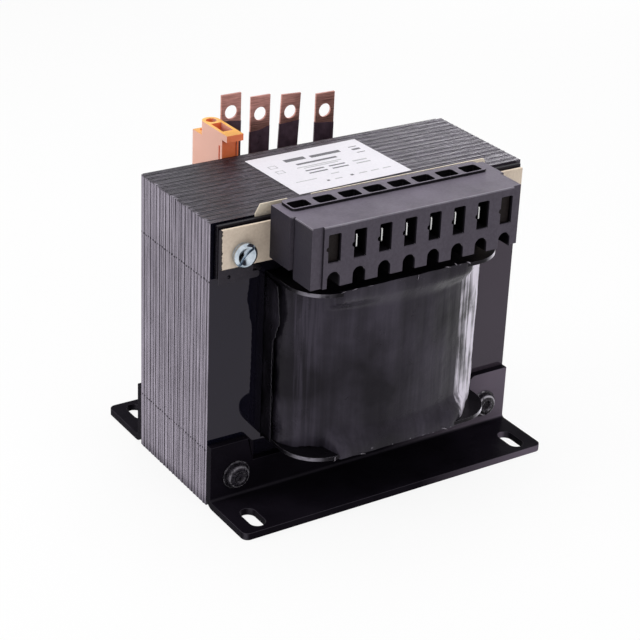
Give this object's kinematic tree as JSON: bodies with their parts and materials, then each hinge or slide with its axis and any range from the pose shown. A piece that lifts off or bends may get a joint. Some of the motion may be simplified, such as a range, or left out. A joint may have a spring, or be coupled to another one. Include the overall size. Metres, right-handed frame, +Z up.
{
  "type": "laminated chassis transformer",
  "caption": "Interleaved E-I core on two slotted feet, with a film-wrapped coil, a push-on terminal block in front and copper output bars behind.",
  "frame": {"origin": "centre of the core on the plane that the feet stand on", "axes": "+X along the front to the right, +Y to the back, +Z up"},
  "size_m": [0.1502, 0.1214, 0.1456],
  "materials": {
    "core_lacquer": "glossy lacquer over steel, streaky on the edges",
    "bobbin_plastic": "satin moulded",
    "winding_copper": "enamelled",
    "winding_insulation": "satin film",
    "black_film": "glossy film",
    "bracket_paint": "gloss black",
    "strap_paint": "semi-gloss black",
    "varnished_steel": "varnished over",
    "zinc_steel": "bright zinc plate",
    "sleeve_paper": "matte pressed paper",
    "barrier_laminate": "satin",
    "carrier_plastic": "satin moulded",
    "board_laminate": "satin",
    "housing_plastic": "satin moulded",
    "tab_tin": "tin plate",
    "insert_plastic": "matte moulded",
    "lead_insulation": "satin",
    "orange_plastic": "satin moulded",
    "bar_copper": "brushed across",
    "shrink_sleeve": "shrunk tight",
    "label_face": "satin print film"
  },
  "bodies": {
    "root": {"e_laminations_up": "core_lacquer", "i_laminations_top": "core_lacquer", "e_laminations_down": "core_lacquer", "i_laminations_bottom": "core_lacquer", "bobbin": "bobbin_plastic", "primary_winding": "winding_copper", "interwinding_insulation": "winding_insulation", "secondary_winding": "winding_copper", "outer_wrap": "black_film", "window_liners": "black_film", "front_bracket": "bracket_paint", "rear_bracket": "bracket_paint", "core_bolts": "varnished_steel", "core_bolt_washers": "varnished_steel", "core_lock_washers": "varnished_steel", "core_nuts": "varnished_steel", "bolt_sleeves": "sleeve_paper", "barrier_sheet": "barrier_laminate", "front_strap": "strap_paint", "terminal_carrier": "carrier_plastic", "terminal_board": "board_laminate", "terminal_base": "housing_plastic", "terminal_housing": "housing_plastic", "terminal_tabs": "tab_tin", "blank_inserts": "insert_plastic", "primary_leads": "lead_insulation", "terminal_screws": "zinc_steel", "terminal_screw_washers": "zinc_steel", "terminal_nuts": "zinc_steel", "rear_strap": "strap_paint", "rear_terminal_block": "orange_plastic", "rear_terminal_clamp": "zinc_steel", "rear_terminal_screw": "zinc_steel", "rear_terminal_fixing": "zinc_steel", "busbar_1": "bar_copper", "busbar_2": "bar_copper", "busbar_3": "bar_copper", "busbar_4": "bar_copper", "busbar_sleeve_1": "shrink_sleeve", "busbar_sleeve_2": "shrink_sleeve", "busbar_sleeve_3": "shrink_sleeve", "busbar_sleeve_4": "shrink_sleeve", "rating_label": "label_face"}
  },
  "joints": []
}
